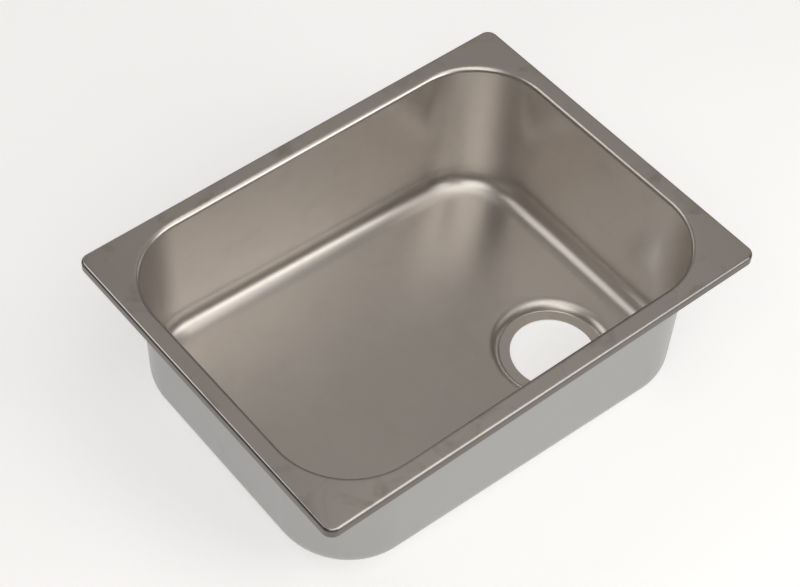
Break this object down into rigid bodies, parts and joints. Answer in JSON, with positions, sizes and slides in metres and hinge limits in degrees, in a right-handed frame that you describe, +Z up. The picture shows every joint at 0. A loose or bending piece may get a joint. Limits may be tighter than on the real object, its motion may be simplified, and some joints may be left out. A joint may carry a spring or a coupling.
{
  "type": "inset foot bath basin",
  "caption": "Inset foot-bath basin pressed from steel sheet: flat rim with a turned-down edge, deep bowl with round corners, floor falling to an open drain hole in a sunk seat.",
  "frame": {"origin": "under the middle of the rim, level with the lowest point of the drain seat's underside", "axes": "+X along the long side towards the drain, +Y from the side nearer the drain to the other side, +Z up"},
  "size_m": [0.522, 0.394, 0.1849],
  "materials": {
    "steel": "satin stainless steel"
  },
  "bodies": {
    "root": {"basin": "steel"}
  },
  "joints": []
}
